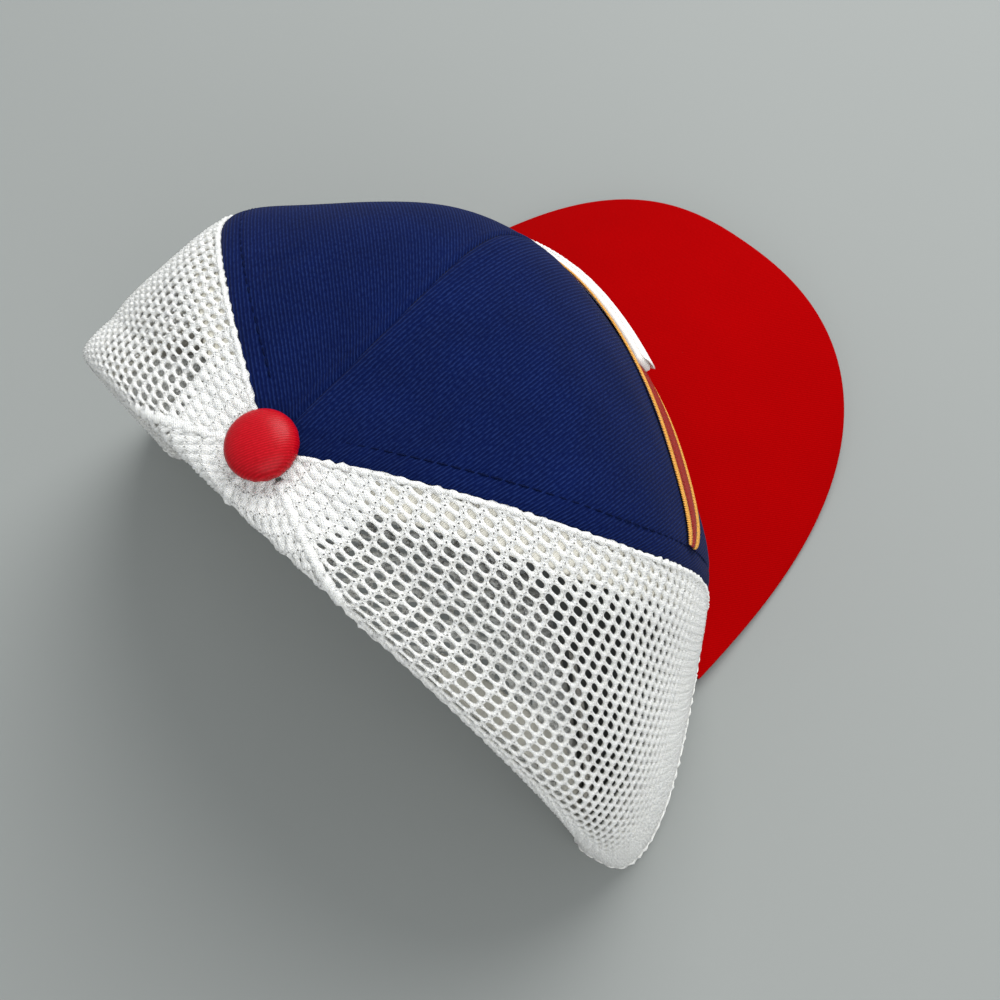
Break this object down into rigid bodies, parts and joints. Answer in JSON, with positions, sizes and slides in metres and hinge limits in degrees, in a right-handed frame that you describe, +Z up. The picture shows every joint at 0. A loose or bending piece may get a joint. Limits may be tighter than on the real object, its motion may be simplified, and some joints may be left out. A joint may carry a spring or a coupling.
{
  "type": "trucker hat",
  "caption": "Trucker hat with a twill front, mesh sides and back and a curved brim, stored with its back half pushed inside the crown.",
  "frame": {"origin": "middle of the hat's outline on the surface that it stands on", "axes": "+Z up, the front and the brim face -Y, the wearer's left is +X"},
  "size_m": [0.2126, 0.2006, 0.1323],
  "materials": {
    "navy_twill": "matte twill",
    "white_mesh": "warp-knit mesh",
    "white_tape": "matte woven tape",
    "grey_band": "matte cotton",
    "white_plastic": "satin moulded",
    "red_twill": "matte twill",
    "gold_thread": "satin stitch",
    "dark_red_thread": "satin stitch",
    "white_thread": "padded satin stitch"
  },
  "bodies": {
    "root": {"front_panel_left": "navy_twill", "front_panel_right": "navy_twill", "side_mesh_left": "white_mesh", "side_mesh_right": "white_mesh", "back_mesh_left": "white_mesh", "back_mesh_right": "white_mesh", "side_tape_left": "white_tape", "side_tape_right": "white_tape", "back_tape_left": "white_tape", "back_tape_right": "white_tape", "centre_tape": "white_tape", "sweatband": "grey_band", "closure_strap": "white_plastic", "button": "red_twill", "brim": "red_twill", "band_upper_edge": "gold_thread", "band_centre": "dark_red_thread", "band_lower_edge": "gold_thread", "emblem_bar_upper": "white_thread", "emblem_bar_lower": "white_thread"}
  },
  "joints": []
}
